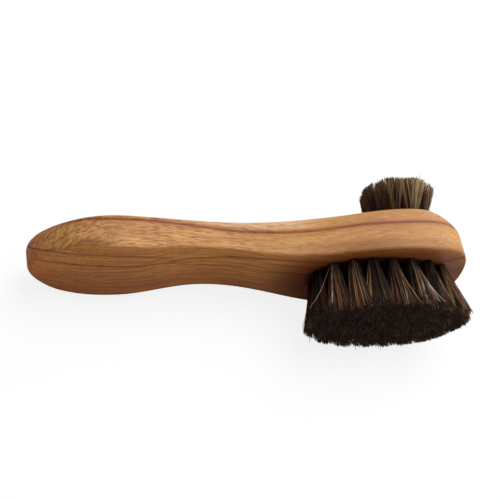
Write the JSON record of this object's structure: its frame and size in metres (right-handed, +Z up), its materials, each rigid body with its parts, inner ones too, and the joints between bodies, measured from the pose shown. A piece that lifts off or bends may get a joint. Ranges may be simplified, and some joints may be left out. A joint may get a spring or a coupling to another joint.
{
  "type": "shoe shine brush",
  "caption": "Two-sided shoe brush: a wooden handle and oval head with a large patch of horsehair on one face and a small one on the other.",
  "frame": {"origin": "on the plane that the brush lies on, under the middle of its outer box", "axes": "+X along the handle towards the head, +Y the way the small bristles point, +Z up, as the brush lies on the side of its head"},
  "size_m": [0.185, 0.0666, 0.0428],
  "materials": {
    "beech": "fine-sanded bare beech with darker growth lines and short brown flecks",
    "dark_horsehair": "dark brown and black horsehair with some fawn hairs, matt with a soft sheen",
    "mixed_horsehair": "brown, black and olive-fawn horsehair, matt with a soft sheen",
    "anchor_wire": "flat drawn wire, dull"
  },
  "bodies": {
    "root": {"wooden_body": "beech", "large_tuft_01": "dark_horsehair", "large_tuft_02": "dark_horsehair", "large_tuft_03": "dark_horsehair", "large_tuft_04": "dark_horsehair", "large_tuft_05": "dark_horsehair", "large_tuft_06": "dark_horsehair", "large_tuft_07": "dark_horsehair", "large_tuft_08": "dark_horsehair", "large_tuft_09": "dark_horsehair", "large_tuft_10": "dark_horsehair", "large_tuft_11": "dark_horsehair", "large_tuft_12": "dark_horsehair", "large_tuft_13": "dark_horsehair", "large_tuft_14": "dark_horsehair", "large_tuft_15": "dark_horsehair", "large_tuft_16": "dark_horsehair", "large_tuft_17": "dark_horsehair", "large_tuft_18": "dark_horsehair", "large_tuft_19": "dark_horsehair", "large_tuft_20": "dark_horsehair", "large_tuft_21": "dark_horsehair", "large_tuft_22": "dark_horsehair", "large_tuft_23": "dark_horsehair", "large_tuft_24": "dark_horsehair", "large_tuft_25": "dark_horsehair", "large_tuft_26": "dark_horsehair", "large_tuft_27": "dark_horsehair", "small_tuft_01": "mixed_horsehair", "small_tuft_02": "mixed_horsehair", "small_tuft_03": "mixed_horsehair", "small_tuft_04": "mixed_horsehair", "small_tuft_05": "mixed_horsehair", "small_tuft_06": "mixed_horsehair", "small_tuft_07": "mixed_horsehair", "small_tuft_08": "mixed_horsehair", "small_tuft_09": "mixed_horsehair", "small_tuft_10": "mixed_horsehair", "large_anchors": "anchor_wire", "small_anchors": "anchor_wire"}
  },
  "joints": []
}
